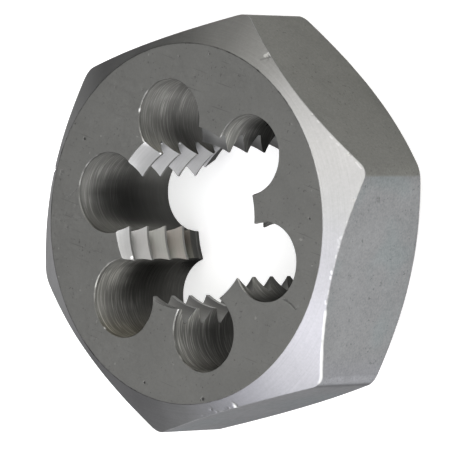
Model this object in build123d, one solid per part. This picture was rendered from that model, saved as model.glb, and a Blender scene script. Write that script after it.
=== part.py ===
from build123d import *
import os
from math import ceil, radians, tan

# Hexagon threading die for a 3/4 in - 10 right-hand thread, one solid, in mm.
# It lies on its back face, which is the face with the lead cone.
# Origin: centre of the hexagon on the back face.  +Z: out of the front face.
# The six flats face 0, 60, 120 ... degrees from +X, and the corners point to
# 30, 90, 150 ... degrees.

# ---- hexagon blank --------------------------------------------------------
across_flats = 36.0            # hexagon
thickness = 13.0               # over the two faces
corner_radius = 1.60           # rounded long edges between the flats

# ---- chamfers turned on the corners, each a little off centre -------------
front_circle_radius = 17.07    # rim of the flat front face
front_slope = 0.680            # axial drop per mm outwards, about 34 degrees
front_centre = (-0.22, 0.06)
back_circle_radius = 16.99     # rim of the flat back face
back_slope = 0.715
back_centre = (0.13, 0.02)

# ---- chip holes, 7.5 mm drill on a 20.8 mm circle, right through ----------
# x, y, radius of each as drilled
chip_holes = [
    (10.46, -0.57, 3.71),
    (5.71, 8.47, 3.74),
    (-4.72, 9.10, 3.78),
    (-10.22, 0.31, 3.82),
    (-5.68, -8.89, 3.72),
    (4.88, -9.09, 3.73),
]
rim_break = 0.10               # broken edge round each hole, at both faces

# ---- thread, left on the six lands between the chip holes -----------------
thread_centre = (0.14, 0.05)
pitch = 2.54                   # 10 turns to the inch
pitch_radius = 8.73            # half of the pitch diameter
crest_radius = 7.86            # narrow flat on the crests
root_radius = 9.53             # flat at the bottom of the groove
flank_angle = 30.0             # each flank from the cross plane: a 60 degree V
crest_angle = -48.0            # where round the bore a crest meets the front
worn_crests = [(267.0, 8.04), (327.0, 7.99)]  # angle of the land, crest radius

# ---- lead cone at the back face -------------------------------------------
lead_mouth_radius = 9.85
lead_half_angle = 24.0         # from the axis

os.makedirs("parts", exist_ok=True)


def chamfer_ring(centre, rim_radius, slope, face_z, out):
    """Ring outside a turned chamfer; out is +1 at the front, -1 at the back."""
    far = across_flats
    drop = (far - rim_radius) * slope
    with BuildPart() as ring:
        with BuildSketch(Plane.XZ):
            with BuildLine():
                Bezier((rim_radius, face_z), (far, face_z - out * drop))
                Polyline(
                    (far, face_z - out * drop),
                    (far, face_z + out * 3),
                    (rim_radius, face_z + out * 3),
                    (rim_radius, face_z),
                )
            make_face()
        revolve(axis=Axis.Z)
    return ring.part.moved(Location((centre[0], centre[1], 0)))


def helix(radius, z, angle):
    """One right-hand turn about the thread axis, from this height and angle."""
    turn = Edge.make_helix(pitch=pitch, height=pitch, radius=radius)
    return turn.moved(Location((*thread_centre, z), (0, 0, angle)))


def groove_turn(z, angle):
    """One turn of the thread groove, as a screw-shaped solid.

    Its section is a 60 degree V, cut short by a narrow flat at the root, and
    it reaches inwards past the crests.  z is its middle height at its start.
    Its two ends lie in a chip hole, so that each turn meets each land once.
    """
    inner = crest_radius - 0.10
    lean = tan(radians(flank_angle))
    half_inner = pitch / 4 + (pitch_radius - inner) * lean
    half_root = pitch / 4 - (root_radius - pitch_radius) * lean
    a = helix(inner, z - half_inner, angle)
    b = helix(inner, z + half_inner, angle)
    c = helix(root_radius, z + half_root, angle)
    d = helix(root_radius, z - half_root, angle)
    faces = [
        Face.make_surface_from_curves(a, b),
        Face.make_surface_from_curves(b, c),
        Face.make_surface_from_curves(c, d),
        Face.make_surface_from_curves(d, a),
    ]
    for end in (0.0, 1.0):
        corners = [edge.position_at(end) for edge in (a, b, c, d)]
        faces.append(Face(Wire.make_polygon(corners, close=True)))
    return Solid(Shell(faces))


# hexagon with rounded long edges
with BuildPart() as blank:
    with BuildSketch():
        RegularPolygon(
            radius=across_flats / 2, side_count=6, major_radius=False, rotation=30
        )
    extrude(amount=thickness)
    fillet(blank.edges().filter_by(Axis.Z), radius=corner_radius)
die = blank.part

# corner chamfers
die -= chamfer_ring(front_centre, front_circle_radius, front_slope, thickness, 1)
die -= chamfer_ring(back_centre, back_circle_radius, back_slope, 0.0, -1)

# bore at the size of the crests
die -= Pos(*thread_centre, -1) * Solid.make_cylinder(crest_radius, thickness + 2)

# two lands whose crests are worn down a little further than the others
for angle, r in worn_crests:
    wedge = Solid.make_cylinder(r, thickness + 2, angle=60)
    die -= Pos(*thread_centre, -1) * Rot(0, 0, angle - 30) * wedge

# six chip holes, each breaking into the bore, with a broken edge at both faces
for x, y, r in chip_holes:
    die -= Pos(x, y, -1) * Solid.make_cylinder(r, thickness + 2)
    die -= Pos(x, y, thickness - rim_break) * Solid.make_cone(
        r, r + 2 * rim_break, 2 * rim_break
    )
    die -= Pos(x, y, -rim_break) * Solid.make_cone(
        r + 2 * rim_break, r, 2 * rim_break
    )

# thread groove, turn by turn, starting in the chip hole that faces -X
start_angle = 177.0
first = thickness - pitch / 2 + pitch * (start_angle - crest_angle) / 360
for k in range(-ceil(first / pitch) - 1, ceil((thickness - first) / pitch) + 1):
    z = first + k * pitch
    if -1.5 * pitch < z < thickness + pitch / 2:
        die -= groove_turn(z, start_angle)

# lead cone at the back face
lean = tan(radians(lead_half_angle))
lead_depth = lead_mouth_radius / lean
die -= Pos(*thread_centre, -1) * Solid.make_cone(
    lead_mouth_radius + lean, 0, lead_depth + 1
)

solids = die.solids()
print("solids", len(solids), "valid", die.is_valid, "faces", len(die.faces()))
solid = max(solids, key=lambda s: s.volume)
print("volume mm3", round(solid.volume, 1), "mass g", round(solid.volume * 7.85e-3, 1))
solid.label = "hex_die"
export_step(solid, "parts/hex_die.step")
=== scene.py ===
import math

import bpy
import bmesh
import numpy as np
from mathutils import Matrix, Vector
from mathutils.geometry import delaunay_2d_cdt


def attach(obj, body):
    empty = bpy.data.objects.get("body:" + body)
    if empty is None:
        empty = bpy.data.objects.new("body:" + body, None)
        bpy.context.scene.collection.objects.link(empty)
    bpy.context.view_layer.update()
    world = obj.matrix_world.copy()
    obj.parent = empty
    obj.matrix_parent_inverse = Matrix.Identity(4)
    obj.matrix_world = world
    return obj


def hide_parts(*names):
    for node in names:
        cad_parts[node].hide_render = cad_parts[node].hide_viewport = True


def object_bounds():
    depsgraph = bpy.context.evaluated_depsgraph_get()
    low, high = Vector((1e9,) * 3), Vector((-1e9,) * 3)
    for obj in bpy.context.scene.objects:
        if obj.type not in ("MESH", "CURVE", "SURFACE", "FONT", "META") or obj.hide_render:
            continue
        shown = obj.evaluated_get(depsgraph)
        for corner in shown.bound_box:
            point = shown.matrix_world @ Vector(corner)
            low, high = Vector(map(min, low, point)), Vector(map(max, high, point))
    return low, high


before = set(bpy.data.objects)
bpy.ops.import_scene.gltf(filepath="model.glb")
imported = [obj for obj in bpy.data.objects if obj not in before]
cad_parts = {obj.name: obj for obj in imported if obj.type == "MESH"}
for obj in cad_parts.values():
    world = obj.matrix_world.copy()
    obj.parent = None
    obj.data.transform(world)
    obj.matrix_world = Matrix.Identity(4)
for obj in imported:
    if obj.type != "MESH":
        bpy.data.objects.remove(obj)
cad_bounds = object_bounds()

# ---------------------------------------------------------------------------
# The die's dimensions, in mm, as in its solid model
# ---------------------------------------------------------------------------
AF = 36.0
T = 13.0
CORNER_R = 1.60
FRONT_R, FRONT_SLOPE, FRONT_C = 17.07, 0.680, np.array([-0.22, 0.06])
BACK_R, BACK_SLOPE, BACK_C = 16.99, 0.715, np.array([0.13, 0.02])
HOLES = [(10.46, -0.57, 3.71), (5.71, 8.47, 3.74), (-4.72, 9.10, 3.78),
         (-10.22, 0.31, 3.82), (-5.68, -8.89, 3.72), (4.88, -9.09, 3.73)]
BREAK = 0.10
THREAD_C = np.array([0.14, 0.05])
PITCH = 2.54

rng = np.random.default_rng(20)


def smooth(x):
    x = np.clip(x, 0.0, 1.0)
    return x * x * (3 - 2 * x)


def bell(deg, at, wide):
    """1 at this angle, falling smoothly to 0 this many degrees either side."""
    d = np.abs((np.asarray(deg) - at + 180.0) % 360.0 - 180.0)
    return smooth(1 - d / wide)


class Noise1:
    """Smooth repeatable noise along a line, about -1 to 1."""

    def __init__(self, seed, step, length=60.0):
        r = np.random.default_rng(seed)
        self.step = step
        self.v = r.uniform(-1, 1, int(length / step) + 8)

    def __call__(self, x):
        t = (np.asarray(x, float) + 20.0) / self.step
        i = np.floor(t).astype(int)
        f = t - i
        f = f * f * (3 - 2 * f)
        n = len(self.v)
        return self.v[i % n] * (1 - f) + self.v[(i + 1) % n] * f


# ---------------------------------------------------------------------------
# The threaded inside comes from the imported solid; the hole walls, both faces
# and the outside are meshed again, finely enough to carry tool marks and dents
# ---------------------------------------------------------------------------
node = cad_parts["hex_die"]
src = node.data
raw = np.empty(len(src.vertices) * 3)
src.vertices.foreach_get("co", raw)
raw = raw.reshape(-1, 3) * 1000.0
src.calc_loop_triangles()
tri = np.empty(len(src.loop_triangles) * 3, dtype=np.int64)
src.loop_triangles.foreach_get("vertices", tri)
tri = tri.reshape(-1, 3)

key = np.round(raw, 4)
uniq, first, inv = np.unique(key, axis=0, return_index=True, return_inverse=True)
P = [tuple(p) for p in raw[first]]
inv = np.asarray(inv).ravel()
tri = inv[tri]
tri = tri[(tri[:, 0] != tri[:, 1]) & (tri[:, 1] != tri[:, 2]) & (tri[:, 2] != tri[:, 0])]
PA = np.array(P)

z3 = PA[tri][:, :, 2]
r3 = np.hypot(PA[tri][:, :, 0], PA[tri][:, :, 1])
is_front = (z3 > T - 1e-3).all(1)
is_back = (z3 < 1e-3).all(1)
is_outer = (r3 > 16.0).all(1) & ~is_front & ~is_back

nrm = np.cross(PA[tri[:, 1]] - PA[tri[:, 0]], PA[tri[:, 2]] - PA[tri[:, 0]])
nrm /= np.linalg.norm(nrm, axis=1)[:, None] + 1e-15
cen = PA[tri].mean(1)
wall_of = np.full(len(tri), -1)
for h, (hx, hy, hr) in enumerate(HOLES):
    d = np.hypot(PA[tri][:, :, 0] - hx, PA[tri][:, :, 1] - hy)
    want = hr + np.maximum(z3 - (T - BREAK), 0) + np.maximum(BREAK - z3, 0)
    on = (np.abs(d - want) < 4e-3).all(1) & ~is_front & ~is_back
    rad = cen[:, :2] - np.array([hx, hy])
    rad /= np.linalg.norm(rad, axis=1)[:, None] + 1e-12
    facing = -(nrm[:, 0] * rad[:, 0] + nrm[:, 1] * rad[:, 1])
    wall_of[on & (facing > 0.55)] = h
is_thread = ~is_front & ~is_back & ~is_outer & (wall_of < 0)

TRIS = []      # vertex triples
MATS = []      # material index of each
FACE, FLAT, CHAMFER, WALL, FLANK, CREST, LAND = range(7)


def edges_of(faces):
    """Directed edges used once, as a dict from start to end vertices."""
    seen = {}
    for a, b, c in faces:
        for e in ((a, b), (b, c), (c, a)):
            seen[e] = 1
    out = {}
    for a, b in seen:
        if (b, a) not in seen:
            out.setdefault(a, []).append(b)
    return out


def loops_of(faces):
    """Closed boundary loops of a patch, each a list of vertex numbers."""
    nxt = edges_of(faces)
    loops = []
    while nxt:
        start = next(iter(nxt))
        loop, cur = [], start
        while True:
            loop.append(cur)
            to = nxt[cur]
            if len(to) > 1 and len(loop) > 1:
                prev = np.array(P[loop[-2]])
                here = np.array(P[cur])
                d0 = here - prev
                ang = [float(np.dot(d0, np.array(P[t]) - here)) for t in to]
                k = int(np.argmax(ang))
            else:
                k = 0
            new = to.pop(k)
            if not to:
                del nxt[cur]
            cur = new
            if cur == start:
                break
        loops.append(loop)
    return loops


def inside(points, loops2d):
    """Even-odd test of points against closed loops."""
    x, y = points[:, 0][:, None], points[:, 1][:, None]
    count = np.zeros(len(points), int)
    for loop in loops2d:
        a = np.asarray(loop)
        b = np.roll(a, -1, 0)
        for s in range(0, len(a), 400):
            a0, b0 = a[s:s + 400], b[s:s + 400]
            cond = (a0[:, 1] > y) != (b0[:, 1] > y)
            with np.errstate(divide="ignore", invalid="ignore"):
                xi = a0[:, 0] + (y - a0[:, 1]) * (b0[:, 0] - a0[:, 0]) / (b0[:, 1] - a0[:, 1])
            count += (cond & (x < xi)).sum(1)
    return count % 2 == 1


def clearance(points, loops2d):
    """Distance from each point to the nearest boundary edge."""
    best = np.full(len(points), 1e9)
    for loop in loops2d:
        a = np.asarray(loop)
        b = np.roll(a, -1, 0)
        for s in range(0, len(a), 200):
            a0, e = a[s:s + 200], (b - a)[s:s + 200]
            d = points[:, None, :] - a0[None]
            t = np.clip((d * e).sum(2) / ((e * e).sum(1) + 1e-18), 0, 1)
            best = np.minimum(best, np.linalg.norm(d - t[..., None] * e, axis=2).min(1))
    return best


def patch(loop_ids, loops2d, inner2d, lift, gap):
    """Meshes a flat or unrolled patch inside its loops with these inner points.

    lift turns inner 2-D points into 3-D ones, added to P.  Returns triangles
    of vertex numbers, wound anticlockwise in the plane of the patch.
    """
    keep = inside(inner2d, loops2d)
    inner2d = inner2d[keep]
    inner2d = inner2d[clearance(inner2d, loops2d) > gap]
    ids, pts, cons = [], [], []
    for loop, p2 in zip(loop_ids, loops2d):
        n0 = len(ids)
        ids += list(loop)
        pts += [tuple(p) for p in p2]
        m = len(loop)
        cons += [(n0 + k, n0 + (k + 1) % m) for k in range(m)]
    p3 = lift(inner2d)
    base = len(P)
    P.extend([tuple(p) for p in p3])
    ids += list(range(base, base + len(inner2d)))
    pts += [tuple(p) for p in inner2d]
    v, e, f, ov, oe, of = delaunay_2d_cdt([Vector(p) for p in pts], cons, [], 0, 1e-7, True)
    real = [ids[o[0]] if o else -1 for o in ov]
    out = np.array([[real[i] for i in t] for t in f if len(t) == 3 and all(real[i] >= 0 for i in t)])
    v2 = np.array([tuple(p) for p in v])
    tv = np.array([t for t in f if len(t) == 3 and all(real[i] >= 0 for i in t)])
    c2 = v2[tv].mean(1)
    ok = inside(c2, loops2d)
    out, tv = out[ok], tv[ok]
    e1, e2 = v2[tv[:, 1]] - v2[tv[:, 0]], v2[tv[:, 2]] - v2[tv[:, 0]]
    area = e1[:, 0] * e2[:, 1] - e1[:, 1] * e2[:, 0]
    out[area < 0] = out[area < 0][:, ::-1]
    return out[np.abs(area) > 1e-10]


# ---- the inner loops, with their long edges on the two faces cut shorter ---
inner_tris = tri[is_thread]
wall_tris = {h: tri[wall_of == h] for h in range(6)}
front_inner = [l for l in loops_of(tri[is_front]) if np.hypot(*np.array(P)[l][:, :2].T).max() < 16.0]
back_inner = [l for l in loops_of(tri[is_back]) if np.hypot(*np.array(P)[l][:, :2].T).max() < 16.0]
print("inner loops", [len(l) for l in front_inner], [len(l) for l in back_inner])

# places on the front rims of the holes worn wider and painted brighter, partly wear and partly painted highlight: hole,
# angle, half width, extra width, brightness
RIM_WEAR_AND_GLINT = [
    (2, 183, 4, 0.050, 0.60), (2, 190, 12, 0.00, 0.10), (2, 150, 16, 0.00, 0.08),
    (2, 210, 9, 0.00, 0.16), (2, 230, 9, 0.030, 0.42), (2, 240, 7, 0.01, 0.35),
    (3, 205, 22, 0.00, 0.16), (3, 182, 8, 0.00, 0.16), (3, 225, 8, 0.00, 0.10),
    (4, 246, 3, 0.05, 0.80), (4, 190, 16, 0.00, 0.14), (4, 222, 12, 0.00, 0.12),
    (5, 212, 8, 0.01, 0.16), (5, 190, 10, 0.00, 0.10), (5, 160, 7, 0.03, 0.30), (5, 236, 8, 0.00, 0.12),
    (1, 150, 16, 0.00, 0.18), (1, 190, 8, 0.01, 0.18),
]
edge_cut = {}  # (a, b) both ways -> list of new vertex numbers between them


def cut_face_edges(loops, z, seed):
    """Cuts the chip-hole arcs on a face into steps of about 2 degrees."""
    wob = [Noise1(seed + 7 * h, 1.20) for h in range(6)]
    fine = [Noise1(seed + 70 + 7 * h, 0.50) for h in range(6)]
    moved = {}
    for loop in loops:
        n = len(loop)
        for k in range(n):
            a, b = loop[k], loop[(k + 1) % n]
            pa, pb = np.array(P[a]), np.array(P[b])
            for h, (hx, hy, hr) in enumerate(HOLES):
                c = np.array([hx, hy])
                da, db = np.linalg.norm(pa[:2] - c), np.linalg.norm(pb[:2] - c)
                if abs(da - hr - BREAK) < 4e-3 and abs(db - hr - BREAK) < 4e-3:
                    ta = math.atan2(pa[1] - hy, pa[0] - hx)
                    tb = math.atan2(pb[1] - hy, pb[0] - hx)
                    dt = (tb - ta + math.pi) % (2 * math.pi) - math.pi
                    m = max(1, int(round(abs(dt) / math.radians(2.2))))
                    new = []
                    for j in range(1, m):
                        t = ta + dt * j / m
                        new.append(len(P))
                        P.append((hx + (hr + BREAK) * math.cos(t), hy + (hr + BREAK) * math.sin(t), z))
                    edge_cut[(a, b)] = new
                    edge_cut[(b, a)] = new[::-1]
                    for i in new + [a, b]:
                        moved[i] = h
    # the broken edge is uneven: a little wider here, almost sharp there
    for i, h in moved.items():
        hx, hy, hr = HOLES[h]
        x, y, _ = P[i]
        t = math.atan2(y - hy, x - hx)
        away = (t - math.atan2(hy, hx) + math.pi) % (2 * math.pi) - math.pi
        fade = float(smooth((2.05 - abs(away)) / 0.35))
        s = (away + 3.2) * hr
        w = hr + BREAK + fade * (0.022 * wob[h](s) + 0.012 * fine[h](s) - 0.026)
        if z > 1:
            w += sum(more * bell(math.degrees(t), at, wide) for hh, at, wide, more, _ in RIM_WEAR_AND_GLINT if hh == h)
        P[i] = (hx + w * math.cos(t), hy + w * math.sin(t), z)


cut_face_edges(front_inner, T, 100)
cut_face_edges(back_inner, 0.0, 300)


def refine(loop):
    out = []
    n = len(loop)
    for k in range(n):
        a, b = loop[k], loop[(k + 1) % n]
        out.append(a)
        out += edge_cut.get((a, b), [])
    return out


front_inner = [refine(l) for l in front_inner]
back_inner = [refine(l) for l in back_inner]

# ---------------------------------------------------------------------------
# Chip-hole walls, unrolled, with drilling rings
# ---------------------------------------------------------------------------
wall_verts = {}
CALM = (0.5, 0.5, 0.5, 0.15, 0.4, 0.6)       # how strong the rings stay deep in each hole
for h, (hx, hy, hr) in enumerate(HOLES):
    away0 = math.atan2(hy, hx)
    loops = [refine(l) for l in loops_of(wall_tris[h])]

    def unroll(p, hx=hx, hy=hy, hr=hr, away0=away0):
        p = np.atleast_2d(p)
        t = np.arctan2(p[:, 1] - hy, p[:, 0] - hx) - away0
        t = (t + np.pi) % (2 * np.pi) - np.pi
        z = p[:, 2]
        v = np.where(z > T - BREAK, T - BREAK + (z - (T - BREAK)) * 1.4142, z)
        v = np.where(z < BREAK, BREAK - (BREAK - z) * 1.4142, v)
        return np.c_[t * hr, v]

    rings = [Noise1(1000 + 31 * h, 0.16, 40), Noise1(1001 + 31 * h, 0.33, 40), Noise1(1002 + 31 * h, 0.9, 60)]
    gain = Noise1(1003 + 31 * h, 1.6, 60)
    side = Noise1(1004 + 31 * h, 2.3, 60)
    rg = np.random.default_rng(1200 + h)
    grooves = [(rg.uniform(0.4, T - 0.35), rg.uniform(0.06, 0.10), rg.uniform(0.004, 0.011),
                rg.uniform(-2.0, 2.0), rg.uniform(0.7, 2.4)) for _ in range(20)]

    calm = CALM[h]

    def lift(q, hx=hx, hy=hy, hr=hr, away0=away0, rings=rings, gain=gain, side=side, grooves=grooves, calm=calm):
        t = q[:, 0] / hr
        v = q[:, 1]
        z = np.where(v > T - BREAK, T - BREAK + (v - (T - BREAK)) / 1.4142, v)
        z = np.where(v < BREAK, BREAK - (BREAK - v) / 1.4142, z)
        r = hr + np.maximum(z - (T - BREAK), 0) + np.maximum(BREAK - z, 0)
        s = z + 0.035 * t + 0.05 * side(q[:, 0])
        depth = 0.0048 * rings[0](s) + 0.0022 * rings[1](s) + 0.0015 * rings[2](s)
        depth = depth * (0.8 + 0.4 * gain(z + 0.4 * q[:, 0]))
        for zc, gw, gd, t0, tw in grooves:
            depth = depth + gd * smooth(1 - np.abs(s - zc) / gw) * smooth((tw - np.abs(t - t0)) / 0.5)
        depth = depth * smooth((T - 0.16 - z) / 0.2) * smooth((z - 0.16) / 0.2)
        depth = depth * (calm + (1 - calm) * smooth((z - 3.0) / 5.0))
        r = r + depth
        return np.c_[hx + r * np.cos(t + away0), hy + r * np.sin(t + away0), z]

    l2 = [unroll(np.array([P[i] for i in l])) for l in loops]
    us = np.arange(-12.6, 12.6, 0.42)
    vs = np.linspace(BREAK, T - BREAK, 123)[1:-1]
    uu, vv = np.meshgrid(us, vs)
    close = np.arange(-12.6, 12.6, 0.11)      # along the two creases
    pts = np.vstack([np.c_[uu.ravel(), vv.ravel()], np.c_[close, np.full(len(close), BREAK)],
                     np.c_[close, np.full(len(close), T - BREAK)]])
    n_before = len(P)
    faces = patch(loops, l2, pts, lift, 0.045)
    # seen from inside the hole the unrolled sheet is mirrored
    p0, p1, p2 = (np.array([P[i] for i in faces[:, k]]) for k in range(3))
    fn = np.cross(p1 - p0, p2 - p0)
    fc = (p0 + p1 + p2) / 3 - np.array([hx, hy, 0])
    flip = (fn[:, 0] * fc[:, 0] + fn[:, 1] * fc[:, 1]).mean() > 0
    if flip:
        faces = faces[:, ::-1]
    TRIS.append(faces)
    MATS.append(np.full(len(faces), WALL))
    wall_verts[h] = (n_before, len(P))

# ---------------------------------------------------------------------------
# Outside: chamfers, rounded edges and flats, column by column round the axis
# ---------------------------------------------------------------------------
# dents and chips: place, half length along the side, half width across it, depth (mm), brightness; the brightness is
# painted into the colour, partly worn metal and partly painted highlight
NICKS = [
    ((4.90, 17.90, 11.93), 0.55, 0.22, 0.05, 0.00),
    ((4.95, 17.52, 12.20), 0.80, 0.11, 0.045, 0.00),
    ((11.66, 14.00, 12.20), 0.16, 0.13, 0.05, 0.35),
    ((16.00, 11.45, 11.15), 0.30, 0.20, 0.07, 0.16),
    ((17.90, 7.62, 11.26), 0.28, 0.20, 0.07, 0.12),
    ((17.99, 5.54, 11.51), 0.15, 0.12, 0.05, 0.10),
    ((17.88, 3.89, 12.01), 0.36, 0.30, 0.015, 0.16),
    ((17.93, 3.04, 12.08), 0.26, 0.26, 0.015, 0.16),
    ((17.97, -2.20, 12.05), 0.26, 0.22, 0.08, 0.10),
    ((17.99, -6.03, 11.51), 0.18, 0.14, 0.05, 0.20),
    ((10.02, -14.80, 12.20), 0.28, 0.62, 0.10, 0.72),
    ((10.22, -13.82, 12.82), 0.16, 0.66, 0.03, 0.32),
    ((9.35, -15.25, 12.35), 0.22, 0.18, -0.05, 0.05),
    ((8.60, -15.80, 12.30), 0.42, 0.20, 0.030, 0.09),
    ((8.95, -15.40, 12.45), 0.42, 0.14, 0.030, 0.00),
    ((8.00, -16.02, 12.32), 0.30, 0.26, 0.025, 0.07),
    ((7.42, -15.89, 12.50), 0.20, 0.28, 0.05, 0.10),
    ((6.30, -16.90, 12.20), 0.30, 0.14, 0.03, 0.04),
    ((-17.80, 0.45, 12.55), 0.55, 0.45, 0.20, 0.00),
    ((-9.80, 15.40, 12.30), 0.30, 0.25, 0.06, 0.10),
    ((-16.2, -9.6, 11.6), 0.35, 0.25, 0.07, 0.15),
    ((-4.10, -18.2, 12.2), 0.30, 0.22, 0.06, 0.15),
    ((17.9, -9.9, 1.9), 0.40, 0.25, 0.08, 0.25),
    ((14.0, 12.7, 0.9), 0.35, 0.25, 0.08, 0.25),
    ((-7.5, 16.5, 0.8), 0.40, 0.28, 0.10, 0.25),
    ((-14.6, -12.2, 0.9), 0.35, 0.25, 0.09, 0.25),
    ((3.0, -18.6, 0.8), 0.35, 0.25, 0.08, 0.25),
]


def hex_point(th):
    """Outline of the hexagon with rounded corners, at these angles."""
    u = (th + np.pi / 6) % (np.pi / 3) - np.pi / 6
    rho = AF / 2 / np.cos(u)
    dcen = (AF / 2 - CORNER_R) / np.cos(np.pi / 6)
    ut = np.arctan2(np.tan(np.pi / 6) * (AF / 2 - CORNER_R), AF / 2)
    b = np.pi / 6 - np.abs(u)
    rr = dcen * np.cos(b) + np.sqrt(np.maximum(CORNER_R ** 2 - (dcen * np.sin(b)) ** 2, 0))
    rho = np.where(np.abs(u) > ut, rr, rho)
    return np.c_[rho * np.cos(th), rho * np.sin(th)]


def outline_normal(th):
    u = (th + np.pi / 6) % (np.pi / 3) - np.pi / 6
    mid = th - u
    ut = np.arctan2(np.tan(np.pi / 6) * (AF / 2 - CORNER_R), AF / 2)
    dcen = (AF / 2 - CORNER_R) / np.cos(np.pi / 6)
    corner = mid + np.sign(u) * np.pi / 6
    c = np.c_[dcen * np.cos(corner), dcen * np.sin(corner)]
    p = hex_point(th)
    n = np.where((np.abs(u) > ut)[:, None], p - c, np.c_[np.cos(mid), np.sin(mid)])
    return n / np.linalg.norm(n, axis=1)[:, None]


# columns: even along the outline, closer together near dents and corners
dense = np.linspace(0, 2 * np.pi, 20001)[:-1]
hp = hex_point(dense)
seg = np.linalg.norm(np.roll(hp, -1, 0) - hp, axis=1)
want = np.full(len(dense), 1 / 0.30)
for (x, y, z), rad, _, dep, _ in NICKS:
    d = np.hypot(hp[:, 0] - x, hp[:, 1] - y)
    want = np.maximum(want, 1 / 0.30 + (1 / 0.055 - 1 / 0.30) * smooth((rad * 1.6 + 0.3 - d) / 0.4))
uang = np.abs((dense + np.pi / 6) % (np.pi / 3) - np.pi / 6)
want = np.maximum(want, 1 / 0.30 + (1 / 0.13 - 1 / 0.30) * smooth((uang - 0.43) / 0.04))
cum = np.concatenate([[0], np.cumsum(seg * want)])
ncol = int(cum[-1])
theta = np.interp(np.arange(ncol) * cum[-1] / ncol, cum, np.linspace(0, 2 * np.pi, 20001))
outer = hex_point(theta)
onorm = outline_normal(theta)
print("columns", ncol)

edge_w = Noise1(501, 1.3, 200)
edge_f = Noise1(502, 0.35, 200)
edge_r = Noise1(503, 0.22, 200)
edge_s = Noise1(504, 0.60, 200)
rim_r = Noise1(505, 0.30, 200)
rim_s = Noise1(506, 1.1, 200)
along = np.concatenate([[0], np.cumsum(np.linalg.norm(np.diff(outer, axis=0), axis=1))])


def rounding(th, z_top):
    """How far the edge between chamfer and side is rounded, in mm."""
    w = 0.055 + 0.018 * edge_w(along + (0 if z_top else 71)) + 0.012 * edge_f(along + (0 if z_top else 71))
    if z_top:
        a = np.degrees((th + np.pi) % (2 * np.pi) - np.pi)
        w = w + (0.09 + 0.03 * smooth((-10 - a) / 18.0)) * smooth((a + 31.0) / 1.5) * smooth((-8.8 - a) / 1.5)
        w = w + 0.02 * smooth((a + 9.5) / 2.0) * smooth((20 - a) / 6.0)
        ragged = smooth((a + 32) / 3.0) * smooth((32 - a) / 6.0)
        ragged = np.maximum(ragged, 0.5 * smooth((a + 60) / 5.0) * smooth((-32 - a) / 4.0))
        w = w + ragged * (0.04 * np.maximum(edge_r(along), 0) + 0.03 * np.maximum(edge_s(along), 0))
    return np.clip(w, 0.03, 0.23)


def side_profile(front):
    """Rows of points from the rim of one face to the top of the side."""
    c, R, k = (FRONT_C, FRONT_R, FRONT_SLOPE) if front else (BACK_C, BACK_R, BACK_SLOPE)
    v = outer - c
    L = np.linalg.norm(v, axis=1)
    d = v / L[:, None]
    ze = -(L - R) * k                    # height of the sharp edge below the face
    w = rounding(theta, front)
    m = math.sqrt(1 + k * k)
    up = np.c_[d / m, np.full(len(d), -k / m)]          # down the chamfer, outwards
    rows, kinds = [], []
    rim = np.c_[c + d * R, np.zeros(len(d))]
    edge = np.c_[outer, ze]
    run = np.linalg.norm(edge - rim, axis=1)
    rb = (0.014 + 0.035 * np.maximum(rim_r(along + (0 if front else 53)), 0)
          * np.maximum(rim_s(along + (0 if front else 53)) + 0.3, 0))[:, None]
    # rounded rim between face and chamfer
    flat_dir = np.c_[d, np.zeros(len(d))]
    rows.append(rim - flat_dir * (rb + 0.09))
    kinds.append(FACE)
    for t in (0.0, 0.5, 1.0):
        a = rim - flat_dir * rb * (1 - t) ** 2
        rows.append(a + up * rb * t ** 2)
        kinds.append(FACE if t == 0 else CHAMFER)
    rows.append(rim + up * (rb + 0.06))
    kinds.append(CHAMFER)
    fine = (0.04, 0.09, 0.15, 0.22, 0.30, 0.38, 0.46, 0.54, 0.62, 0.70, 0.77, 0.84, 0.90, 0.945, 0.98)
    for s in fine if front else (0.04, 0.12, 0.24, 0.38, 0.54, 0.70, 0.84, 0.92, 0.975):
        q = rb[:, 0] + 0.06 + (run - rb[:, 0] - 0.06 - w) * s
        rows.append(rim + up * q[:, None])
        kinds.append(CHAMFER)
    down = np.array([0, 0, -1.0])
    for t in (0.0, 0.2, 0.4, 0.6, 0.8, 1.0):
        rows.append(edge - up * (w * (1 - t) ** 2)[:, None] + down * (w * t ** 2)[:, None])
        kinds.append(CHAMFER)
    return rows, kinds


top_rows, top_kinds = side_profile(True)
for r in top_rows:
    r[:, 2] += T
bot_rows, bot_kinds = side_profile(False)
for r in bot_rows:
    r[:, 2] *= -1
za, zb = top_rows[-1][:, 2], bot_rows[-1][:, 2]
flat_s = [0.012, 0.03, 0.055, 0.09, 0.13, 0.18, 0.24, 0.31, 0.38, 0.46, 0.54, 0.62, 0.70, 0.77, 0.83, 0.88, 0.92, 0.955, 0.98]
flat_rows = [np.c_[outer, za + (zb - za) * s] for s in flat_s]
rows = top_rows + flat_rows + bot_rows[::-1]
row_z = np.array(rows)                       # rows, columns, 3
nrow = len(rows)
band = ([FACE] + [CHAMFER] * (len(top_rows) - 2) + [FLAT] * (len(flat_rows) + 1) + [CHAMFER] * (len(bot_rows) - 2) + [FACE])

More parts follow.
